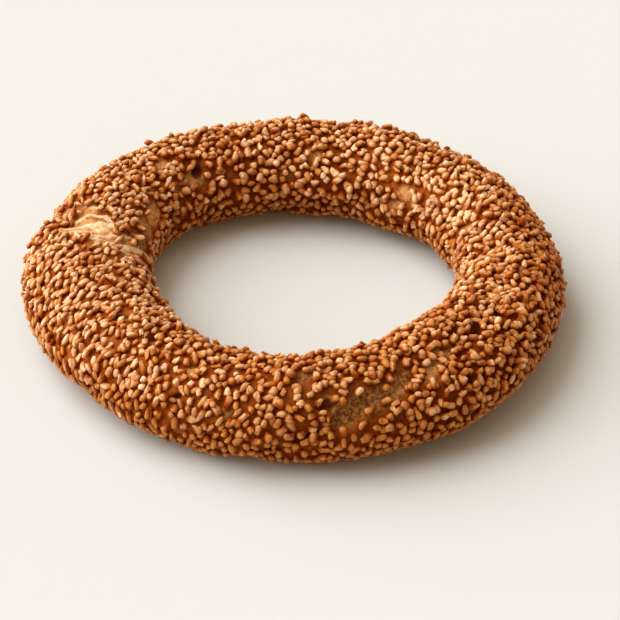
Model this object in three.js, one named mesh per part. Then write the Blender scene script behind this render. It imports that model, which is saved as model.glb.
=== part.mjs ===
// Simit: a ring of bread, wound from two strands of dough and baked under a coat of sesame.
//
// Units are millimetres and +Z is up. The ring lies on z = 0, and its origin is the middle of
// its footprint. The solid is the bread out to the top of its coat of seeds.
//
// Two angles, both in degrees, give a place on the ring's surface:
//   turn    along the ring, seen from above: 0 at +X, 90 at the back, 180 at -X, 270 in front
//   around  round the dough's section: 0 at the outside, 90 on top, 180 in the hole, 270 below

import * as THREE from 'three';
import { ParametricGeometry } from 'three/addons/geometries/ParametricGeometry.js';
import { mergeVertices } from 'three/addons/utils/BufferGeometryUtils.js';

// ---- driving dimensions -------------------------------------------------------------------

const OUTER_DIAMETER = 150;
const HALF_WIDTH = 16.3; // of the dough's section, across the ring
const HALF_HEIGHT = 13; // of the same section, before its underside is flattened
const BASE_LEVEL = 0.853; // the flat underside lies this share of the half height below the axis

// A hand-rolled rope is uneven. Each wave is [crests in one turn, height, turn of one crest],
// and its height is a share of the size that it changes.
const RADIUS_WAVES = [[2, 0.015, -29], [3, 0.016, 24]];
const WIDTH_WAVES = [[1, 0.049, 199], [3, 0.065, -50]];
const HEIGHT_WAVES = [[2, 0.028, -73]];

// The crease between the two strands winds round the section as it runs along the ring.
const STRANDS = 2;
const WINDINGS = 2; // whole windings of the pair in one turn of the ring
const CREASE_START = 98; // where round the section a crease would lie at turn 0
const WINDING_WAVES = [[1, 67, -73], [2, 16, -50], [3, 17, 39]]; // heights in degrees
const CREASE_DEPTH = 1.4;
const CREASE_HALF_WIDTH = 15; // in degrees round the section
const CREASE_WAVES = [[1, 0.45, -20]]; // the creases are deepest at the right

// The rope's two ends are pressed together in a joint, which leaves one crease across it.
const JOINT_TURN = 169;
const JOINT_SLANT = 8; // the joint's crease lies this much earlier outside, and later in the hole
const JOINT_DEPTH = 2;
const JOINT_HALF_WIDTH = 3.4; // in degrees of turn

const STEPS_ALONG = 144;
const STEPS_ROUND = 32;

const CRUST = { color: 0x9c5e32, roughness: 0.7, metalness: 0 };

// ---- values worked out from them ----------------------------------------------------------

const CENTRE_RADIUS = OUTER_DIAMETER / 2 - HALF_WIDTH;
const MERGE_DISTANCE = 1e-4;

// ---- the shape ----------------------------------------------------------------------------

const cosine = (degrees) => Math.cos(THREE.MathUtils.degToRad(degrees));
const sine = (degrees) => Math.sin(THREE.MathUtils.degToRad(degrees));

// The sum of a list of waves at one turn.
function sumOfWaves(waves, turn) {
  return waves.reduce((sum, [crests, height, at]) => sum + height * cosine(crests * (turn - at)), 0);
}

// A rounded dip: 1 where the distance is 0, falling to about a third at half the width.
function dip(distance, halfWidth) {
  return Math.exp(-((distance / halfWidth) ** 2));
}

// The difference between two angles, brought to within half a period of 0.
function wrapped(angle, period) {
  return angle - period * Math.round(angle / period);
}

// How deep the surface is sunk below the plain rope, in millimetres.
function sunkDepth(turn, around) {
  const crease = CREASE_START + WINDINGS * turn + sumOfWaves(WINDING_WAVES, turn);
  const toCrease = wrapped(around - crease, 360 / STRANDS);
  const creaseDepth = CREASE_DEPTH * (1 + sumOfWaves(CREASE_WAVES, turn));
  const toJoint = wrapped(turn - JOINT_TURN + JOINT_SLANT * cosine(around), 360);
  return creaseDepth * dip(toCrease, CREASE_HALF_WIDTH) + JOINT_DEPTH * dip(toJoint, JOINT_HALF_WIDTH);
}

// A point of the surface: an uneven ellipse carried round the ring, sunk along its creases and
// stopped at the table.
function surfacePoint(along, round, point) {
  const turn = 360 * along;
  const around = 360 * round;
  const sunk = sunkDepth(turn, around);
  const halfWidth = HALF_WIDTH * (1 + sumOfWaves(WIDTH_WAVES, turn));
  const halfHeight = HALF_HEIGHT * (1 + sumOfWaves(HEIGHT_WAVES, turn));
  const centreRadius = CENTRE_RADIUS * (1 + sumOfWaves(RADIUS_WAVES, turn));
  const radius = centreRadius + (halfWidth - sunk) * cosine(around);
  const height = BASE_LEVEL * halfHeight + (halfHeight - sunk) * sine(around);
  point.set(radius * cosine(turn), radius * sine(turn), Math.max(height, 0));
}

// The surface closed into one body, with the middle of its footprint on the origin.
function ringGeometry() {
  const open = new ParametricGeometry(surfacePoint, STEPS_ALONG, STEPS_ROUND);
  open.deleteAttribute('normal');
  open.deleteAttribute('uv');
  const closed = mergeVertices(open, MERGE_DISTANCE);
  closed.computeBoundingBox();
  const middle = closed.boundingBox.getCenter(new THREE.Vector3());
  closed.translate(-middle.x, -middle.y, 0);
  closed.computeVertexNormals();
  return closed;
}

function breadRing() {
  const mesh = new THREE.Mesh(ringGeometry(), new THREE.MeshStandardMaterial(CRUST));
  mesh.name = 'bread_ring';
  return mesh;
}

const simit = new THREE.Group();
simit.name = 'simit';
simit.add(breadRing());

export default simit;
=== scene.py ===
# %% [markdown]
# # A simit: a wound ring of bread under a coat of sesame
#
# A simit is two ropes of dough wound round each other, joined into a ring, dipped in thinned
# grape syrup, pressed all over into sesame and baked. Two things make its look: a brown,
# slightly uneven core of bread, and thousands of toasted seeds that stand on it.
#
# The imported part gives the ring's true size. This script dresses it: it works out the core
# as one surface, strews the seeds over it as real meshes, and then sets the light.

import bpy
import numpy as np
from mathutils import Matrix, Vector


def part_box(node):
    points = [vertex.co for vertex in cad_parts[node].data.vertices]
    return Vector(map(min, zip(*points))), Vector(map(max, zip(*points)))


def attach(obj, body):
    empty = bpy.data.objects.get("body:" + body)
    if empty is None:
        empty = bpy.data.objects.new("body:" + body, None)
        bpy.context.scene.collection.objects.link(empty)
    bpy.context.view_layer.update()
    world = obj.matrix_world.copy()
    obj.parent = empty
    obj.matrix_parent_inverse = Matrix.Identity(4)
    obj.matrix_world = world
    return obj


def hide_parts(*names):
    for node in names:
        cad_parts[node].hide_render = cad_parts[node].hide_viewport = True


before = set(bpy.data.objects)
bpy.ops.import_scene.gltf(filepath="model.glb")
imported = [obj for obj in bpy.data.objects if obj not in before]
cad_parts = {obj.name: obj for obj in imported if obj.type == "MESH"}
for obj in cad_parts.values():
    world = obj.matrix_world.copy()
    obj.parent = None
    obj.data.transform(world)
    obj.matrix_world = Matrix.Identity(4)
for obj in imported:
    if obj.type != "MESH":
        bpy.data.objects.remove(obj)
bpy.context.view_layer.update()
ring_low, ring_high = (np.array(corner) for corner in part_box("bread_ring"))
print("the packed ring measures", np.round((ring_high - ring_low) * 1000, 1), "mm")

# %% [markdown]
# ## The rope's shape
#
# The core could be sculpted, or a torus could be pushed about by hand. Here it is a function
# instead: two angles go in, and a point of the surface comes out. `turn` runs along the ring
# (0 at +X, 90 at the back, 270 in front), and `around` runs round the dough's section (0 at
# the outside, 90 on top, 180 in the hole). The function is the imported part's own, so the core
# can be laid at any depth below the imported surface, and seeds can be set anywhere on it.

# %% Sizes of the rope
MM = 0.001

OUTER_DIAMETER = 150 * MM
HALF_WIDTH = 16.3 * MM
HALF_HEIGHT = 13 * MM
# The rope's middle stands this share of its half height above the table.
BASE_LEVEL = 0.853
CENTRE_RADIUS = OUTER_DIAMETER / 2 - HALF_WIDTH

# Each wave is (crests in one turn, height, turn of one crest).
RADIUS_WAVES = [(2, 0.015, -29), (3, 0.016, 24)]
WIDTH_WAVES = [(1, 0.049, 199), (3, 0.065, -50)]
HEIGHT_WAVES = [(2, 0.028, -73)]

STRANDS = 2
WINDINGS = 2
CREASE_START = 98
WINDING_WAVES = [(1, 67, -73), (2, 16, -50), (3, 17, 39)]
CREASE_DEPTH = 1.4 * MM
CREASE_HALF_WIDTH = 15
CREASE_WAVES = [(1, 0.45, -20)]

JOINT_TURN = 169
JOINT_SLANT = 8
JOINT_DEPTH = 2 * MM
JOINT_HALF_WIDTH = 3.4

# The torn skin lies this far before the joint, and round the section it is widest here.
TORN_SHIFT = 1
TORN_HALF_WIDTH = 2.1 * JOINT_HALF_WIDTH
TORN_AROUND, TORN_HALF_AROUND = 110, 68


# %% Waves, dips and creases
def cosine(degrees):
    return np.cos(np.radians(degrees))


def sine(degrees):
    return np.sin(np.radians(degrees))


def sum_of_waves(waves, turn):
    """The sum of height x cosine(crests x (turn - place of a crest)) over the list."""
    return sum(height * cosine(crests * (turn - at)) for crests, height, at in waves)


def dip(distance, half_width):
    """A rounded bell: e to the power of minus (distance / half width) squared."""
    return np.exp(-((distance / half_width) ** 2))


def wrapped(angle, period=360.0):
    """The angle brought to within half a period of 0."""
    return angle - period * np.round(angle / period)


def to_crease(turn, around):
    """Degrees round the section from the nearest crease between the two strands."""
    crease = CREASE_START + WINDINGS * turn + sum_of_waves(WINDING_WAVES, turn)
    return wrapped(around - crease, 360 / STRANDS)


def to_joint(turn, around):
    """Degrees of turn from the slanting crease where the rope's ends are joined."""
    return wrapped(turn - JOINT_TURN + JOINT_SLANT * cosine(around))


def tornness(turn, around):
    """How much the skin is torn: 1 along the joint, on top and in the hole."""
    beside = dip(to_joint(turn, around) + TORN_SHIFT, TORN_HALF_WIDTH)
    return beside * dip(wrapped(around - TORN_AROUND), TORN_HALF_AROUND)


def sunk_depth(turn, around):
    """How far the strands' creases and the joint sink the surface."""
    depth = CREASE_DEPTH * (1 + sum_of_waves(CREASE_WAVES, turn))
    strands = depth * dip(to_crease(turn, around), CREASE_HALF_WIDTH)
    return strands + JOINT_DEPTH * dip(to_joint(turn, around), JOINT_HALF_WIDTH)


# %% The rope's surface
BASE_ROUNDING = 0.5 * MM


def raw_surface(turn, around, below, base):
    """An ellipse carried round the ring and shrunk by `below`. Its height is a soft maximum of
    the ellipse and the flat base: base + s x log(1 + e^((height - base) / s))."""
    sunk = sunk_depth(turn, around) + below
    half_width = HALF_WIDTH * (1 + sum_of_waves(WIDTH_WAVES, turn))
    half_height = HALF_HEIGHT * (1 + sum_of_waves(HEIGHT_WAVES, turn))
    radius = CENTRE_RADIUS * (1 + sum_of_waves(RADIUS_WAVES, turn))
    radius = radius + (half_width - sunk) * cosine(around)
    height = BASE_LEVEL * half_height + (half_height - sunk) * sine(around)
    height = base + BASE_ROUNDING * np.logaddexp(0, (height - base) / BASE_ROUNDING)
    return np.stack([radius * cosine(turn), radius * sine(turn), height], axis=-1)


def angle_grid(steps_along, steps_round):
    """Every pair of evenly spaced angles, as two arrays of (along, round)."""
    turns = np.arange(steps_along) * 360 / steps_along
    arounds = np.arange(steps_round) * 360 / steps_round
    return np.meshgrid(turns, arounds, indexing="ij")


plain_points = raw_surface(*angle_grid(360, 96), below=0, base=0).reshape(-1, 3)
plain_middle = (plain_points.min(0) + plain_points.max(0)) / 2
RING_SHIFT = (ring_low + ring_high) / 2 - plain_middle
RING_SHIFT[2] = 0
print("the formula is moved by", np.round(RING_SHIFT * 1000, 2), "mm to meet the packed ring")

# %% [markdown]
# ## Lumps, wrinkles and clefts
#
# Real dough is not smooth. It swells in soft lumps a centimetre or two wide, and its baked skin
# has finer wrinkles. Noise from a texture would do, but a sum of a few dozen waves whose crests
# fit a whole number of times round the ring has no seam, and a fixed seed makes it the same
# every run. Here and there the skin also sinks into a short cleft, where the dough folded or a
# bubble broke, and its finish darkens it with painted shade. Each of those is one bell, set by its
# place, its two half sizes and its slant.

# %% Lumps and wrinkles
LUMP_HEIGHT = 0.32 * MM
WRINKLE_HEIGHT = 0.13 * MM


def ripple(turn, around, seed, crests_along, crests_round, count=36):
    """A sum of `count` plane waves with random whole crests and phases, scaled to a spread of
    1."""
    draw = np.random.default_rng(seed)
    along = draw.integers(-crests_along, crests_along + 1, count)
    rounds = draw.integers(1, crests_round + 1, count)
    phase = draw.uniform(0, 360, count)
    waves = (cosine(a * turn + r * around + p) for a, r, p in zip(along, rounds, phase))
    return sum(waves) * np.sqrt(2 / count)


# %% Clefts
def bell(turn, around, at_turn, at_around, length, width, slant):
    """e^-(square^2) about a place, where square is (along / half length)^2 + (across / half
    width)^2 in millimetres. The long axis is turned by `slant` from the ring's own direction."""
    along_mm = np.radians(1) * (CENTRE_RADIUS + HALF_WIDTH * cosine(around)) / MM
    round_mm = np.radians(1) * (HALF_WIDTH + HALF_HEIGHT) / 2 / MM
    x = wrapped(turn - at_turn) * along_mm
    y = wrapped(around - at_around) * round_mm
    along = x * cosine(slant) + y * sine(slant)
    across = y * cosine(slant) - x * sine(slant)
    return np.exp(-(((along / length) ** 2 + (across / width) ** 2) ** 2))


# Each is (turn, around, half length, half width, slant) in degrees and millimetres.
CLEFTS = [
    (321, 76, 3.4, 1.3, 25),
    (330, 73, 4.2, 1.4, 20),
    (354, 97, 2.4, 1.2, 60),
    (355, 62, 2.6, 1.3, 40),
    (125, 128, 2.8, 1.5, 70),
    (276, 47, 2.6, 2.0, 0),
    (271, 4, 2.8, 1.2, 10),
    (309, 32, 2.0, 1.3, 60),
    (214, 88, 3.0, 1.2, 60),
    (228, 97, 3.4, 1.2, 70),
    (243, 34, 2.4, 1.2, 60),
    (158, 66, 2.4, 1.2, 40),
    (88, 40, 3.0, 1.3, 20),
    (38, 20, 3.0, 1.3, 50),
]
CLEFT_DEPTH = 1.3 * MM


def cleft(turn, around):
    """How far a place lies in one of the clefts, from 0 to 1."""
    return np.max([bell(turn, around, *place) for place in CLEFTS], axis=0)


def rope_surface(turn, around, below, base):
    """The plain surface with its lumps and clefts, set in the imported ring's place."""
    lumps = LUMP_HEIGHT * ripple(turn, around, seed=11, crests_along=16, crests_round=3)
    lumps = lumps - CLEFT_DEPTH * cleft(turn, around)
    return raw_surface(turn, around, below - lumps, base) + RING_SHIFT


# %% [markdown]
# ## Where the seeds are missing
#
# The coat is thick but not closed. Seeds fall off along the creases and where the dough
# stretched in the oven, and the dough shows there as smooth brown or, at the torn joint, as
# pale crumb. Each bare place is a bell like a cleft's, with two numbers more: how bare it is and
# how pale its crust is. Where a place is barer than 1 not one seed is left in its middle.

# %% Bare places
# Each is (turn, around, half length, half width, slant, how bare, how pale).
BARE_PLACES = [
    (282, 38, 8.0, 2.8, 42, 1.15, 0.08),
    (293, 55, 7.5, 2.5, 42, 1.15, 0.2),
    (304, 67, 7.0, 2.3, 40, 1.1, 0.4),
    (287, 47, 6.0, 2.6, 42, 1.15, 0.16),
    (277, 46, 3.4, 3.0, 0, 1.2, 0.0),
    (310, 76, 4.0, 1.5, 25, 0.7, 0.7),
    (244, 70, 3.2, 2.6, 40, 1.0, 0.7),
    (255, 31, 3.0, 2.3, 60, 0.95, 0.2),
    (272, 80, 3.4, 1.9, 20, 0.9, 0.2),
    (214, 88, 2.6, 1.8, 30, 0.9, 0.7),
    (196, 121, 3.0, 2.0, 30, 0.9, 0.8),
    (170, 58, 4.6, 3.0, 80, 1.0, 1.0),
    (168, 84, 5.2, 3.8, 78, 1.0, 1.0),
    (173, 110, 6.4, 4.8, 72, 1.0, 1.0),
    (174, 131, 5.2, 4.0, 72, 1.0, 0.9),
    (162, 82, 3.0, 2.2, 20, 0.95, 0.8),
    (167, 148, 6.0, 3.4, 80, 0.9, 0.3),
    (157, 152, 5.5, 3.0, 80, 0.85, 0.6),
    (150, 148, 4.2, 3.0, 50, 1.1, 0.85),
    (134, 104, 2.6, 2.4, 10, 0.75, 0.7),
    (128, 137, 3.6, 3.0, 10, 1.2, 0.42),
    (135, 141, 2.8, 1.8, 70, 0.9, 0.4),
    (85, 121, 3.6, 2.5, 15, 0.95, 0.6),
    (95, 150, 3.0, 1.8, 0, 0.5, 0.3),
    (48, 144, 3.4, 2.8, 60, 1.15, 0.7),
    (51, 166, 3.0, 2.2, 50, 0.9, 0.9),
    (16, 132, 4.2, 3.0, 50, 1.0, 0.9),
    (350, 70, 2.6, 2.2, 0, 0.85, 0.7),
]

# %% [markdown]
# The places above are the ones that one side of the ring shows. The rest of the ring gets a
# share of its own, so that it looks the same kind of bread from behind.

# %% Bare places behind and below
hidden_draw = np.random.default_rng(5)
HIDDEN_COUNT = 16
hidden_places = np.stack(
    [
        hidden_draw.uniform(20, 160, HIDDEN_COUNT),
        hidden_draw.uniform(-40, 60, HIDDEN_COUNT),
        hidden_draw.uniform(2.2, 4.5, HIDDEN_COUNT),
        hidden_draw.uniform(1.4, 2.4, HIDDEN_COUNT),
        hidden_draw.uniform(20, 80, HIDDEN_COUNT),
        hidden_draw.uniform(0.5, 0.9, HIDDEN_COUNT),
        hidden_draw.uniform(0.1, 0.8, HIDDEN_COUNT),
    ],
    axis=1,
)
BARE_PLACES += [tuple(place) for place in hidden_places]


def bareness(turn, around, with_paleness=False):
    """The largest of the places' bells. Each bell is multiplied by how bare its place is, and if
    asked by how pale it is too."""
    most = np.zeros(np.broadcast(turn, around).shape)
    for *place, how_bare, how_pale in BARE_PLACES:
        amount = how_bare * how_pale if with_paleness else how_bare
        most = np.maximum(most, amount * bell(turn, around, *place))
    return most


print("bare places:", len(BARE_PLACES))

# %% [markdown]
# ## Strewing the seeds
#
# Seeds on a simit lie close but hardly overlap. Plain random places would leave clumps and
# holes. So far more places are drawn than are needed, each with a seed's own size and
# direction, and then they are thinned: in rounds, every seed that outranks all the seeds it
# would overlap stays, and those others go. What is left is as full as it can be.
#
# The rope was rolled in the seeds, so they differ by area. On the left they are slender and
# combed to one side, in front and behind they are plump and lie all ways, and on the right both
# kinds are mixed. Beside the joint they lie along it.

# %% Directions on the surface
COAT = 1.15 * MM
PRESSED_COAT = 1.5 * MM
CRUST_BASE = 0.8 * MM


def coat_depth(around):
    """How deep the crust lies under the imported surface. It is deeper low on the ring, where the
    ring's weight pressed the seeds into the dough."""
    return COAT + PRESSED_COAT * np.clip(-sine(around), 0, 1)


def surface_frame(turn, around, below, base):
    """Points of the surface with unit vectors along the ring, round the section and outwards."""
    step = 0.5
    point = rope_surface(turn, around, below, base)
    ahead = rope_surface(turn + step, around, below, base)
    behind = rope_surface(turn - step, around, below, base)
    above = rope_surface(turn, around + 2 * step, below, base)
    under = rope_surface(turn, around - 2 * step, below, base)
    along = ahead - behind
    outwards = np.cross(along, above - under)
    area = np.linalg.norm(outwards, axis=-1)
    outwards = outwards / area[..., None]
    along = along / np.linalg.norm(along, axis=-1, keepdims=True)
    rounds = np.cross(outwards, along)
    return point, along, rounds, outwards, area


# %% Drawing places at random
SEED_DRAW = np.random.default_rng(31)
PLACES_DRAWN = 46000
STEEPEST_COUNTED = 0.985


def draw_places(count):
    """Random angles, thinned so that every square millimetre is as likely as the next. The few
    steepest places, in the clefts, are left a little short of seeds."""
    turn = SEED_DRAW.uniform(0, 360, count)
    around = SEED_DRAW.uniform(0, 360, count)
    frames = surface_frame(turn, around, coat_depth(around), CRUST_BASE)
    area = frames[-1]
    stays = SEED_DRAW.uniform(0, 1, count) * np.quantile(area, STEEPEST_COUNTED) < area
    return [values[stays] for values in (turn, around, *frames[:-1])]


turn, around, point, along, rounds, outwards = draw_places(PLACES_DRAWN)
seed_total = len(turn)
print("places drawn:", seed_total)

# %% A size for every seed
LEFT_TURN = 200
LEFT_HALF = 62
SLENDER_SHIFT = 8
SLENDER_SCATTER = 0.16
SHORTER_UNDERNEATH = 0.25

# Each is (size of a bead, size of a sliver, scatter, smallest factor, largest factor).
LENGTHS = (2.5 * MM, 3.5 * MM, 0.18, 0.6, 1.5)
WIDTHS = (2.1 * MM, 1.64 * MM, 0.14, 0.7, 1.4)
THICKNESSES = (1.85 * MM, 1.55 * MM, 0.12, 0.75, 1.3)


def slender_share(turn, around):
    """How far the seeds at a place look like slender slivers: 1 on the left and low on the
    right, and 0 in front and behind, where they are plump beads."""
    left = dip(wrapped(turn - LEFT_TURN + SLENDER_SHIFT), LEFT_HALF)
    right = dip(wrapped(turn - 2), 44) * (0.45 + 0.55 * dip(wrapped(around - 10), 45))
    return np.clip(left + right, 0, 1)


def underneath(around):
    """0 on the upper half of the rope, rising to 1 well below its widest line."""
    return np.clip(-1.4 * sine(around), 0, 1)


def draw_sizes(bead, sliver, scatter, low, high):
    """Sizes between a bead's and a sliver's, scattered by a normal share of themselves."""
    centre = bead + (sliver - bead) * slender
    return centre * SEED_DRAW.normal(1, scatter, seed_total).clip(low, high)


slender = slender_share(turn, around) + SEED_DRAW.normal(0, SLENDER_SCATTER, seed_total)
slender = slender.clip(0, 1)
length = draw_sizes(*LENGTHS) * (1 - SHORTER_UNDERNEATH * underneath(around))
width = draw_sizes(*WIDTHS)
thickness = draw_sizes(*THICKNESSES)
print("seeds are", np.round(np.quantile(length / MM, [0.1, 0.9]), 1), "mm long, most of them")

# %% A direction for every seed
# Headings are in degrees from the ring's own direction towards the top of the section.
COMBED_FROM = 152
COMBED_RATE = 1.05
ALONG_JOINT = 90
HEADING_SCATTER = 52
CALMER_LEFT = 31
CALMER_RIGHT = 16


def heading_on_the_right(around):
    """0, along the ring, on its outside, turning to -90, straight across it, in the hole."""
    return -90 * (np.clip(around, 0, 160) / 160) ** 1.6


left_flow = dip(wrapped(turn - LEFT_TURN), LEFT_HALF)
right_flow = dip(wrapped(turn), 50)
joint_flow = dip(to_joint(turn, around) - 4, 13) * dip(wrapped(around - 150), 55)

heading = COMBED_RATE * wrapped(COMBED_FROM - turn)
goes_right = SEED_DRAW.uniform(0, 1, seed_total) < right_flow
heading = np.where(goes_right, heading_on_the_right(around), heading)
follows_joint = SEED_DRAW.uniform(0, 1, seed_total) < joint_flow
heading = np.where(follows_joint, ALONG_JOINT, heading)
scatter = HEADING_SCATTER - CALMER_LEFT * left_flow - CALMER_RIGHT * right_flow
heading = heading + SEED_DRAW.normal(0, 1, seed_total) * scatter
heading = heading + 180 * SEED_DRAW.integers(0, 2, seed_total)
direction = along * cosine(heading)[:, None] + rounds * sine(heading)[:, None]
side = np.cross(outwards, direction)
print("headings drawn, scattered by", np.round(scatter.min()), "to", HEADING_SCATTER, "degrees")

# %% [markdown]
# Two seeds overlap when one's middle lies inside an ellipse round the other's whose half sizes
# are the sums of theirs. Testing every pair would take a table of a thousand million distances,
# so the seeds are put in order of their turn and each block of them meets only its neighbours.

# %% Thinning the seeds
def near_pairs(reach, block=500):
    """Index arrays of every ordered pair of different places closer than `reach`."""
    order = np.argsort(turn)
    margin = np.degrees(reach / (CENTRE_RADIUS - HALF_WIDTH))
    firsts, seconds = [], []
    for start in range(0, len(order), block):
        part = order[start : start + block]
        middle = (turn[part[0]] + turn[part[-1]]) / 2
        half = (turn[part[-1]] - turn[part[0]]) / 2 + margin
        others = np.flatnonzero(abs(wrapped(turn - middle)) < half)
        apart = ((point[part][:, None] - point[others][None]) ** 2).sum(-1)
        first, second = np.nonzero(apart < reach**2)
        firsts.append(part[first])
        seconds.append(others[second])
    first, second = np.concatenate(firsts), np.concatenate(seconds)
    return first[first != second], second[first != second]


def overlapping_pairs(closeness):
    """The near pairs whose offset, measured along and across the first seed, is inside the
    ellipse: (along / mean length)^2 + (across / mean width)^2 < closeness^2; both ways round."""
    first, second = near_pairs((closeness * length).max())
    offset = point[second] - point[first]
    along = (offset * direction[first]).sum(1) / ((length[first] + length[second]) / 2)
    across = (offset * side[first]).sum(1) / ((width[first] + width[second]) / 2)
    hits = along**2 + across**2 < (closeness[first] + closeness[second]) ** 2 / 4
    return (
        np.concatenate([first[hits], second[hits]]),
        np.concatenate([second[hits], first[hits]]),
    )


def thinned(may_stay, closeness):
    """True for the seeds that stay: in each round, the ones that outrank all open neighbours."""
    first, second = overlapping_pairs(closeness)
    rank = SEED_DRAW.permutation(seed_total).astype(float)
    open_seeds = may_stay.copy()
    stays = np.zeros(seed_total, bool)
    while open_seeds.any():
        both = open_seeds[first] & open_seeds[second]
        best = np.full(seed_total, -1.0)
        np.maximum.at(best, first[both], rank[second[both]])
        winners = open_seeds & (rank > best)
        stays |= winners
        losers = np.zeros(seed_total, bool)
        losers[second[winners[first]]] = True
        open_seeds &= ~(winners | losers)
    return stays


# %% [markdown]
# Seeds don't stick everywhere: few are left in the bare places, on the torn joint and in the
# clefts. The coat is then thinned so that its seeds just meet, a little closer where they are
# slender and on the right. Some of the seeds that found no room lie loose on top, wide apart.
# Only short ones do, and only on the upper half of the rope, since the others would have rolled
# off.

# %% The coat and the loose seeds
TORN_LOSS = 0.8
CLEFT_LOSS = 0.8
LONGEST_LOOSE = 3.3 * MM
LOOSE_ABOVE = 0.1

sticks = SEED_DRAW.uniform(0, 1, seed_total) > bareness(turn, around)
sticks &= SEED_DRAW.uniform(0, 1, seed_total) > TORN_LOSS * tornness(turn, around)
sticks &= SEED_DRAW.uniform(0, 1, seed_total) > CLEFT_LOSS * cleft(turn, around)

coat_closeness = 0.83 - 0.1 * slender - 0.1 * right_flow
coat = sticks & thinned(np.ones(seed_total, bool), coat_closeness)

loose_share = 0.2 + 0.15 * slender + 0.3 * right_flow
loose_closeness = 1.35 - 0.2 * right_flow
may_lie_on_top = sticks & ~coat & (length < LONGEST_LOOSE) & (sine(around) > LOOSE_ABOVE)
may_lie_on_top &= SEED_DRAW.uniform(0, 1, seed_total) < loose_share
top = thinned(may_lie_on_top, loose_closeness)
print("seeds in the coat:", int(coat.sum()), "and lying on it:", int(top.sum()))

# %% [markdown]
# ## The core of bread
#
# A closed grid carries the core: its last row joins its first both ways, so it has no seam and
# no poles. It lies about a seed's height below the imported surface. The syrup creeps up the side
# of every seed, so the dough rises towards the seeds that stand on it. For that, each seed lifts
# the few corners of the grid that lie round it, and a corner takes the largest lift it is given.
# Where the skin is torn it is rougher, with fine ridges.

# %% Putting a mesh together
def new_piece(name, points, faces, marks, smooth=True):
    """A mesh object at the origin. `marks` maps attribute names to one value a vertex."""
    mesh = bpy.data.meshes.new(name)
    mesh.from_pydata(points.tolist(), [], faces)
    mesh.polygons.foreach_set("use_smooth", np.full(len(mesh.polygons), smooth))
    for mark, values in marks.items():
        attribute = mesh.attributes.new(mark, "FLOAT", "POINT")
        attribute.data.foreach_set("value", values.ravel().astype(np.float32))
    mesh.update()
    piece = bpy.data.objects.new(name, mesh)
    bpy.context.scene.collection.objects.link(piece)
    return piece


def closed_grid_faces(steps_along, steps_round):
    """Four corners a face; the corner after the last step is the first one again."""
    i, j = np.meshgrid(np.arange(steps_along), np.arange(steps_round), indexing="ij")
    next_i = (i + 1) % steps_along
    next_j = (j + 1) % steps_round
    corners = [i * steps_round + j, next_i * steps_round + j]
    corners += [next_i * steps_round + next_j, i * steps_round + next_j]
    return np.stack(corners, axis=-1).reshape(-1, 4).tolist()


# %% The core
CRUST_STEPS = (640, 152)
SYRUP_RISE = 0.5 * MM
SYRUP_REACH = 0.55
SYRUP_START = 0.8
LESS_RISE_LEFT, LESS_RISE_HALF = 0.6, 50
PAINTED_LIGHT_LEFT_HALF = 70
STREAK_HEIGHT = 0.3 * MM

turn_grid, around_grid = angle_grid(*CRUST_STEPS)
torn_grid = tornness(turn_grid, around_grid)
streaks = ripple(turn_grid, around_grid, seed=13, crests_along=150, crests_round=9)
wrinkles = ripple(turn_grid, around_grid, seed=12, crests_along=110, crests_round=26)
wrinkles = WRINKLE_HEIGHT * wrinkles + STREAK_HEIGHT * streaks * torn_grid
coat_grid = coat_depth(around_grid) - wrinkles
plain_crust = rope_surface(turn_grid, around_grid, coat_grid, CRUST_BASE)


def nearness(chosen, cells=5):
    """For each corner of the grid, e^-(gap / reach)^2 to the nearest chosen seed. The gap is how
    far outside the seed's ellipse the corner lies, in half sizes of the seed. Each seed reaches
    `cells` cells to every side."""
    row = np.round(turn[chosen] * CRUST_STEPS[0] / 360).astype(int)
    column = np.round(around[chosen] * CRUST_STEPS[1] / 360).astype(int)
    steps = np.arange(-cells, cells + 1)
    rows = (row[:, None, None] + steps[:, None]) % CRUST_STEPS[0]
    columns = (column[:, None, None] + steps) % CRUST_STEPS[1]
    rows, columns = np.broadcast_arrays(rows, columns)
    offset = plain_crust[rows, columns] - point[chosen][:, None, None]
    along = (offset * direction[chosen][:, None, None]).sum(-1) / length[chosen][:, None, None]
    across = (offset * side[chosen][:, None, None]).sum(-1) / width[chosen][:, None, None]
    gap = np.maximum(2 * np.hypot(along, across) - SYRUP_START, 0)
    most = np.zeros(CRUST_STEPS)
    np.maximum.at(most, (rows, columns), dip(gap, SYRUP_REACH))
    return most


def painted_light_back(turn, around):
    """1 in the hole at the back right, where painted light makes the bread paler, and 0 far from
    there.
    """
    return dip(wrapped(turn - 42), 32) * dip(wrapped(around - 130), 45)


# The mark `pale` is painted light: the crust is lighter on the left and at the back right, where
# the lamp falls.
painted_light_left = dip(wrapped(turn_grid - LEFT_TURN), PAINTED_LIGHT_LEFT_HALF)
less_rise = LESS_RISE_LEFT * dip(wrapped(turn_grid - LEFT_TURN), LESS_RISE_HALF)
near_seed = nearness(np.flatnonzero(coat))
rise = SYRUP_RISE * near_seed * (1 - less_rise)
crust_points = rope_surface(turn_grid, around_grid, coat_grid - rise, CRUST_BASE)
crust = new_piece(
    "crust",
    crust_points.reshape(-1, 3),
    closed_grid_faces(*CRUST_STEPS),
    {
        "bare": bareness(turn_grid, around_grid),
        "bare_and_pale": bareness(turn_grid, around_grid, with_paleness=True),
        "torn": torn_grid,
        "streak": streaks,
        "near_seed": near_seed,
        "deep": cleft(turn_grid, around_grid),
        "pale": np.clip(painted_light_left + painted_light_back(turn_grid, around_grid), 0, 1),
    },
)
print("the core has", 2 * len(crust.data.polygons), "triangles")

# %% [markdown]
# ## One seed
#
# A hulled sesame seed is a small flattened drop: blunt at one end, pointed at the other. It is a
# profile turned round its long axis. With thousands of them, each has only 48 faces: five rings
# of eight corners and a point at each end.

# %% One seed as a drop
SEED_RINGS = 5
SEED_CORNERS = 8
SEED_BLUNTNESS = 0.55


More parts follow.
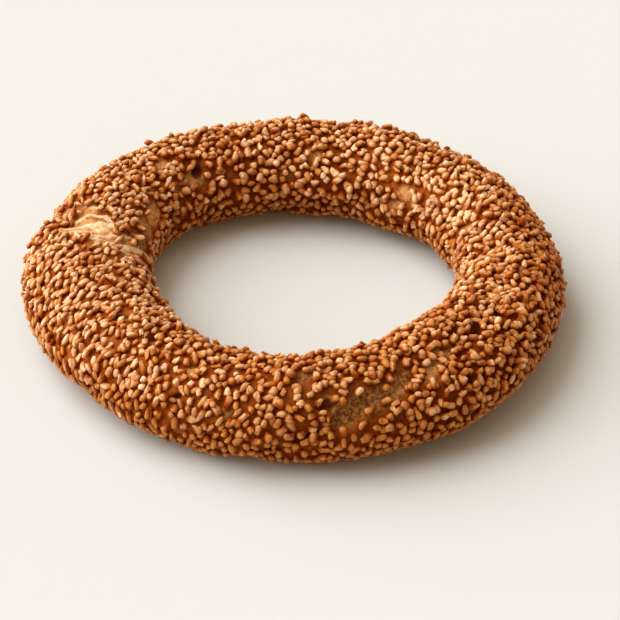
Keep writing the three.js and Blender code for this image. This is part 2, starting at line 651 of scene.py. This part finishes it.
def drop_points():
    """Rings along x from -1/2 to 1/2. Ring t has x = -cos(pi t) / 2 and the radius
    sin(pi t)^bluntness / 2, as a circle in y and z; then the two tips."""
    t = np.linspace(0, 1, SEED_RINGS + 2)[1:-1, None]
    angle = np.arange(SEED_CORNERS)[None] * 2 * np.pi / SEED_CORNERS
    x = -np.cos(np.pi * t) / 2 + 0 * angle
    radius = np.sin(np.pi * t) ** SEED_BLUNTNESS / 2
    rings = np.stack([x, radius * np.cos(angle), radius * np.sin(angle)], axis=-1)
    return np.concatenate([rings.reshape(-1, 3), [[-0.5, 0, 0], [0.5, 0, 0]]])


def drop_faces():
    """Quads between neighbouring rings, and a fan of triangles at each tip, all wound outwards."""
    tail, tip = SEED_RINGS * SEED_CORNERS, SEED_RINGS * SEED_CORNERS + 1
    last = (SEED_RINGS - 1) * SEED_CORNERS
    ring, corner = np.meshgrid(np.arange(SEED_RINGS - 1), np.arange(SEED_CORNERS), indexing="ij")
    low, after = ring * SEED_CORNERS, (corner + 1) % SEED_CORNERS
    high = low + SEED_CORNERS
    quads = np.stack([low + corner, high + corner, high + after, low + after], axis=-1)
    corner, after = corner[0], after[0]
    tails = np.stack([np.full_like(corner, tail), corner, after], axis=-1)
    tips = np.stack([last + corner, np.full_like(corner, tip), last + after], axis=-1)
    return quads.reshape(-1, 4), np.concatenate([tails, tips])


DROP = drop_points()
DROP_QUADS, DROP_TRIANGLES = drop_faces()
SEED_TRIANGLES = 2 * len(DROP_QUADS) + len(DROP_TRIANGLES)
print("one seed has", len(DROP_QUADS) + len(DROP_TRIANGLES), "faces")

# %% [markdown]
# ## All the seeds
#
# A particle system could put copies of the drop on the core, but then all would be alike. Here
# every seed's points are worked out at once, so each is bent, dented and tilted in its own way.
# Every seed has a tone from 0, dark toasted, to 1, golden. Its kind sets the middle of it, and
# the part of the ring shifts that as painted light and shade: the seeds are painted darker low
# down, in front and on the right flank, where shade falls, and paler in the hole at the back
# right, where the lamp falls.

# %% Tones over the ring
# These shift the seeds' tones as painted light and shade: paler where the lamp falls at the back
# right, darker low down, in front and on the right flank.
BACK_PAINTED_LIGHT = 0.33
RIGHT_PAINTED_SHADE = 0.6
LOW_PAINTED_SHADE = 0.55
FRONT_PAINTED_SHADE = 0.16
TONE_SCATTER = 0.2


def painted_light_and_shade(turn, around):
    """How much paler the seeds at a place are painted than is usual for their kind: painted light
    at the back right, painted shade low down, in front and on the right flank.
    """
    low = np.clip(0.5 - sine(around), 0, 1) ** 0.7
    front = dip(wrapped(turn - 272), 45)
    right = dip(wrapped(turn - 2), 36) * dip(wrapped(around - 35), 45)
    paler = BACK_PAINTED_LIGHT * painted_light_back(turn, around)
    return paler - RIGHT_PAINTED_SHADE * right - LOW_PAINTED_SHADE * low - FRONT_PAINTED_SHADE * front


# %% Setting seeds on the surface
CALMER_UNDERNEATH = 0.75
CURL, CURL_CENTRE = 0.2, 0.12
LEAN_LIFT = 0.3
RAISED_SPREAD = (0.4, 1.7)


def seed_piece(name, chosen, shade, lean, taper, sink=0.2, raised=0.0, uneven=0.07, smooth=True):
    """All the chosen seeds as one mesh. A seed's point is middle + x L d + y W s + z T n, where d
    leans out of the surface by `lean` degrees and the widths shrink by `taper` towards one end.
    Each seed has its own curl and dents, and what would lie under the table is pressed flat.
    The mark `height` is 0 at a seed's foot and 1 on its crown; the finish reads it to paint shade
    at the foot and a highlight on the crown."""
    many = len(chosen)
    tilt = SEED_DRAW.normal(*lean, many) * (1 - CALMER_UNDERNEATH * underneath(around[chosen]))
    d, s, n = direction[chosen], side[chosen], outwards[chosen]
    leaning = d * cosine(tilt)[:, None] + n * sine(tilt)[:, None]
    upright = n * cosine(tilt)[:, None] - d * sine(tilt)[:, None]
    curl = SEED_DRAW.normal(0, CURL, (many, 1))
    narrowing = 1 - 2 * SEED_DRAW.uniform(*taper, (many, 1)) * DROP[:, 0]
    dents = SEED_DRAW.normal(1, uneven, (3, many, len(DROP)))
    x = DROP[:, 0] * dents[0]
    y = DROP[:, 1] * dents[1] * narrowing + curl * (x**2 - CURL_CENTRE)
    z = DROP[:, 2] * dents[2] * narrowing
    lift = thickness[chosen] * (0.5 - sink) + LEAN_LIFT * length[chosen] * abs(sine(tilt))
    lift = lift + raised * SEED_DRAW.uniform(*RAISED_SPREAD, many)
    offset = (n * lift[:, None])[:, None]
    offset = offset + (x * length[chosen, None])[..., None] * leaning[:, None]
    offset = offset + (y * width[chosen, None])[..., None] * s[:, None]
    offset = offset + (z * thickness[chosen, None])[..., None] * upright[:, None]
    height = (offset * n[:, None]).sum(-1)
    height = (height - height.min(1, keepdims=True)) / np.ptp(height, axis=1, keepdims=True)
    points = point[chosen][:, None] + offset
    points[..., 2] = np.maximum(points[..., 2], 0)
    starts = np.arange(many)[:, None, None] * len(DROP)
    faces = (starts + DROP_QUADS).reshape(-1, 4).tolist()
    faces += (starts + DROP_TRIANGLES).reshape(-1, 3).tolist()
    # The part of the ring shifts the tone as painted light and shade.
    tone = shade + painted_light_and_shade(turn[chosen], around[chosen])
    tone = tone + SEED_DRAW.normal(0, TONE_SCATTER, many)
    tone = np.repeat(tone.clip(0, 1), len(DROP))
    marks = {"tone": tone, "height": height}
    piece = new_piece(name, points.reshape(-1, 3), faces, marks, smooth)
    print(name, "has", many, "seeds and", SEED_TRIANGLES * many, "triangles")
    return piece


# %% [markdown]
# The seeds go into six pieces: four by how slender they are, one for the dark toasted seeds and
# one for the loose ones. The more slender a seed is, the more it stands up. Drops, flakes and
# slivers are faceted chips that lie higher on the dough, and the others are smooth.

# %% The six kinds of seeds
DARK_SHARE = 0.09
BEAD_END, DROP_END, FLAKE_END = 0.12, 0.55, 0.86
CHIPS = {"uneven": 0.13, "smooth": False, "sink": 0.08}
LOOSE = {"raised": 0.7 * MM}

luck = SEED_DRAW.uniform(0, 1, seed_total)
dark = coat & (luck < DARK_SHARE)
light = coat & ~dark
beads = np.flatnonzero(light & (slender < BEAD_END))
drops = np.flatnonzero(light & (slender >= BEAD_END) & (slender < DROP_END))
flakes = np.flatnonzero(light & (slender >= DROP_END) & (slender < FLAKE_END))
slivers = np.flatnonzero(light & (slender >= FLAKE_END))
dark = np.flatnonzero(dark)
loose = np.flatnonzero(top)

# A lean is (middle, scatter) in degrees, and a taper is (least, most).
seeds = [
    seed_piece("sesame_beads", beads, shade=0.37, lean=(0, 16), taper=(0, 0.35)),
    seed_piece("sesame_drops", drops, shade=0.48, lean=(8, 17), taper=(0.1, 0.45), **CHIPS),
    seed_piece("sesame_flakes", flakes, shade=0.7, lean=(14, 15), taper=(0.05, 0.42), **CHIPS),
    seed_piece("sesame_slivers", slivers, shade=0.74, lean=(19, 14), taper=(0.05, 0.4), **CHIPS),
    seed_piece("sesame_dark", dark, shade=0.1, lean=(6, 16), taper=(0, 0.4)),
    seed_piece("sesame_on_top", loose, shade=0.45, lean=(0, 18), taper=(0, 0.4), **LOOSE),
]

# %% [markdown]
# ## Shader maths as Python
#
# A finish is a sum of small formulas. Wiring Math nodes one by one hides them, so a socket is
# wrapped in a class that adds the node when two values are added or multiplied.

# %% Sockets that can be added and multiplied
class Value:
    """A socket in a material; + and * on it add Math nodes, with a number on either side."""

    def __init__(self, recipe, socket):
        self.recipe = recipe
        self.socket = socket

    def maths(self, operation, other):
        inputs = {0: self, 1: other}
        return self.recipe.node("ShaderNodeMath", {"operation": operation}, inputs)

    def __add__(self, other):
        return self.maths("ADD", other)

    def __mul__(self, other):
        return self.maths("MULTIPLY", other)

    __radd__ = __add__
    __rmul__ = __mul__


class Recipe:
    """One material with a Principled shader, and one method that adds any node."""

    def __init__(self, name):
        self.material = bpy.data.materials.new(name)
        self.material.use_nodes = True
        self.tree = self.material.node_tree
        self.shader = self.tree.nodes["Principled BSDF"]

    def feed(self, socket, value):
        if isinstance(value, Value):
            self.tree.links.new(value.socket, socket)
        else:
            socket.default_value = value

    def node(self, kind, settings=None, inputs=None, output=0):
        node = self.tree.nodes.new(kind)
        for key, setting in (settings or {}).items():
            setattr(node, key, setting)
        for key, value in (inputs or {}).items():
            self.feed(node.inputs[key], value)
        return Value(self, node.outputs[output])

    def attribute(self, name):
        return self.node("ShaderNodeAttribute", {"attribute_name": name}, output="Fac")

    def noise(self, scale, detail=3.0, roughness=0.6):
        place = self.node("ShaderNodeTexCoord", output="Object")
        inputs = {"Vector": place, "Scale": scale, "Detail": detail, "Roughness": roughness}
        return self.node("ShaderNodeTexNoise", None, inputs, output="Fac")

    def between(self, value, low, high):
        """0 below `low`, 1 above `high`, smooth in between."""
        settings = {"interpolation_type": "SMOOTHSTEP"}
        inputs = {"Value": value, "From Min": low, "From Max": high}
        return self.node("ShaderNodeMapRange", settings, inputs)

    def mix(self, factor, first, second):
        """first where the factor is 0, second where it is 1; both are colours. A pair of colours
        can be given as *pair."""
        inputs = {0: factor, 6: first, 7: second}
        return self.node("ShaderNodeMix", {"data_type": "RGBA"}, inputs, output=2)

    def bump(self, height, strength, distance):
        inputs = {"Height": height, "Strength": strength, "Distance": distance}
        return self.node("ShaderNodeBump", None, inputs)

    def set(self, **sockets):
        for name, value in sockets.items():
            self.feed(self.shader.inputs[name.replace("_", " ")], value)
        return self.material


def colour(red, green, blue):
    """A colour given as it looks on a screen, 0 to 255, turned into light:
    ((c + 0.055) / 1.055)^2.4."""
    shown = np.array([red, green, blue]) / 255
    light = np.where(shown > 0.04045, ((shown + 0.055) / 1.055) ** 2.4, shown / 12.92)
    return (*light.tolist(), 1.0)


# %% [markdown]
# ## The crust's finish
#
# Syrup and heat turn the skin a deep brown, mottled everywhere. It is lighter on the left and in
# the hole at the back right, painted light where the lamp falls. It is redder round the seeds,
# partly the syrup that gathers there and partly painted shade in the gaps, and darkest in the
# clefts, which painted shade darkens. In the bare places the skin is smooth, from brown to tan,
# and where the dough tore late in the oven it is pale crumb.
#
# An image wrapped round the ring could show all that, but it would have to be unrolled to fit.
# The core already carries its own marks, such as how bare or torn it is, so the finish only
# mixes colours by those and by noise. A noise of scale s has blotches about 1 / s metres wide,
# so 140 gives 7 mm and 900 gives 1 mm.

# %% The crust's colours
# Each pair is (darkest, lightest).
SKIN = (colour(96, 38, 2), colour(172, 100, 44))
SYRUP_AND_GAP_SHADE = (colour(104, 34, 0), colour(168, 72, 12))
BARE_BROWN = (colour(96, 54, 22), colour(172, 118, 66))
BARE_PALE = (colour(190, 122, 62), colour(240, 178, 116))
CRUMB = (colour(176, 106, 58), colour(250, 222, 178))
# The clefts' colour is painted shade.
CLEFT_SHADE = colour(76, 26, 4)
SPECK = colour(90, 34, 4)
CRUST_SHEEN = colour(255, 160, 70)


# %% The crust's finish
def crust_finish():
    recipe = Recipe("baked crust")
    broad = recipe.noise(140, 4)
    fine = recipe.noise(900, 4, 0.7)

    # The mark `pale` lightens the skin as painted light.
    pale = recipe.attribute("pale")
    light = recipe.between(broad + fine * 0.5 + pale * 0.5, 0.55, 1.35)
    # Round each seed the skin turns a deeper red-brown: partly the syrup that gathers there,
    # partly painted shade in the gaps.
    near = recipe.between(recipe.attribute("near_seed"), 0.05, 0.6)
    skin = recipe.mix(near * 0.85, recipe.mix(light, *SKIN), recipe.mix(pale, *SYRUP_AND_GAP_SHADE))

    bare_brown = recipe.mix(recipe.between(fine, 0.4, 0.62), *BARE_BROWN)
    bare_pale = recipe.mix(recipe.between(fine, 0.3, 0.7), *BARE_PALE)
    how_pale = recipe.between(recipe.attribute("bare_and_pale"), 0, 0.9)
    how_bare = recipe.between(recipe.attribute("bare"), 0.1, 0.8)
    skin = recipe.mix(how_bare, skin, recipe.mix(how_pale, bare_brown, bare_pale))

    streak = recipe.between(recipe.attribute("streak") * 0.25 + fine, 0.2, 0.8)
    torn = recipe.between(recipe.attribute("torn") * (0.35 + streak), 0.25, 0.7)
    skin = recipe.mix(torn, skin, recipe.mix(streak, *CRUMB))

    # The clefts are darkened with painted shade.
    deep = recipe.between(recipe.attribute("deep"), 0.1, 0.7)
    skin = recipe.mix(deep * 0.85, skin, CLEFT_SHADE)
    specks = recipe.between(recipe.noise(1500, 2), 0.62, 0.72)
    skin = recipe.mix(specks * 0.5, skin, SPECK)
    return recipe.set(
        Base_Color=skin,
        Roughness=0.6,
        Specular_IOR_Level=0.12,
        Specular_Tint=CRUST_SHEEN,
        Normal=recipe.bump(broad * 0.5 + fine, strength=0.8, distance=0.8 * MM),
    )


crust.data.materials.append(crust_finish())
print("the crust's finish has", len(crust.active_material.node_tree.nodes), "nodes")

# %% [markdown]
# ## The seeds' finish
#
# A seed's crown is painted palest, a painted highlight, and its foot gets a red-brown rim that is
# painted shade together with the syrup that gathers there.
# Here and there a few neighbours share a duller blush. Each shade could be a material of its
# own, but every seed carries its tone as a mark, so one material does for them all.

# %% The seeds' colours
# The crown pair is a painted highlight on each seed's top, and the foot colour is painted shade
# round its base, along with the syrup that gathers there.
CROWN_PAINTED_HIGHLIGHT = (colour(198, 129, 60), colour(244, 210, 170))
FLANK = (colour(140, 57, 0), colour(202, 120, 32))
FOOT_SYRUP_AND_SHADE = colour(130, 42, 0)
BLUSH = colour(150, 84, 58)
SEED_SHEEN = colour(255, 190, 110)


# %% The seeds' finish
def sesame_finish():
    recipe = Recipe("toasted sesame")
    height = recipe.attribute("height")
    mottle = recipe.noise(700, 2)
    shade = recipe.between(recipe.attribute("tone") + mottle * 0.3, 0.2, 1.1)
    # Painted highlight on the upper part of each seed, and painted shade at its foot below.
    upper = recipe.between(height + mottle * 0.4, 0.8, 1.2)
    body = recipe.mix(upper, recipe.mix(shade, *FLANK), recipe.mix(shade, *CROWN_PAINTED_HIGHLIGHT))
    blush = recipe.between(recipe.noise(260, 1), 0.56, 0.66)
    body = recipe.mix(blush * 0.35, body, BLUSH)
    body = recipe.mix(recipe.between(height, 0.16, 0.68), FOOT_SYRUP_AND_SHADE, body)
    return recipe.set(
        Base_Color=body,
        Roughness=0.45,
        Specular_IOR_Level=0.35,
        Specular_Tint=SEED_SHEEN,
        Normal=recipe.bump(recipe.noise(1600, 2), strength=0.3, distance=0.3 * MM),
    )


sesame = sesame_finish()
for piece in seeds:
    piece.data.materials.append(sesame)
print("the seeds' finish has", len(sesame.node_tree.nodes), "nodes")

# %% [markdown]
# ## Floor, light and camera
#
# The ring lies on a plain floor that looks cream in the light of a warm, bright room. A wide soft
# lamp stands low on the left, and a weaker one high up. The camera stands 80 cm away and looks
# down at the ring.

# %% Floor
FLOOR_HALF = 3.0
floor_corners = np.array([[-1, -1, 0], [1, -1, 0], [1, 1, 0], [-1, 1, 0]]) * FLOOR_HALF
floor = new_piece("floor", floor_corners, [(0, 1, 2, 3)], {})
# The floor's faint warm glow is painted light that lifts and warms its shadows.
floor_finish = Recipe("cream floor").set(
    Base_Color=colour(203, 210, 214),
    Roughness=0.9,
    Emission_Color=colour(255, 180, 90),
    Emission_Strength=0.02,
)
floor.data.materials.append(floor_finish)

# %% Light
scene = bpy.context.scene
scene.view_settings.view_transform = "Standard"
world = bpy.data.worlds.new("soft room")
world.use_nodes = True
background = world.node_tree.nodes["Background"]
background.inputs["Color"].default_value = (1.0, 0.76, 0.52, 1)
background.inputs["Strength"].default_value = 0.44
scene.world = world


def far_lamp(name, turn, height, spread, strength, tint):
    """A lamp so far off that its light falls alike everywhere. It stands over the direction `turn`
    at `height` degrees and looks `spread` degrees wide from the ring."""
    lamp = bpy.data.lights.new(name, "SUN")
    lamp.angle = np.radians(spread)
    lamp.energy = strength
    lamp.color = tint
    holder = bpy.data.objects.new(name, lamp)
    scene.collection.objects.link(holder)
    holder.rotation_euler = np.radians([0, 90 - height, turn])
    print(name, "lamp at", turn, "degrees round and", height, "up")


far_lamp("key", turn=165, height=35, spread=82, strength=4.5, tint=(1.0, 0.99, 0.96))
far_lamp("top", turn=180, height=72, spread=60, strength=0.8, tint=(1.0, 0.85, 0.72))

# %% Camera
VIEW_DOWN = 36
VIEW_DISTANCE = 0.8
VIEW_AIM = np.array([4.92, -4.84, 4.71]) * MM
LENS = 164.8

camera_data = bpy.data.cameras.new("camera")
camera_data.lens = LENS
camera_data.sensor_width = 36
camera = bpy.data.objects.new("camera", camera_data)
scene.collection.objects.link(camera)
towards_camera = np.array([0, -cosine(VIEW_DOWN), sine(VIEW_DOWN)])
camera.location = VIEW_AIM + VIEW_DISTANCE * towards_camera
camera.rotation_euler = (np.radians(90 - VIEW_DOWN), 0, 0)
scene.camera = camera

# %% [markdown]
# ## Handing over
#
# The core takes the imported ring's place, and the seeds ride on it.

# %% Handing over
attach(crust, "root")
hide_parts("bread_ring")
for piece in seeds:
    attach(piece, "root")
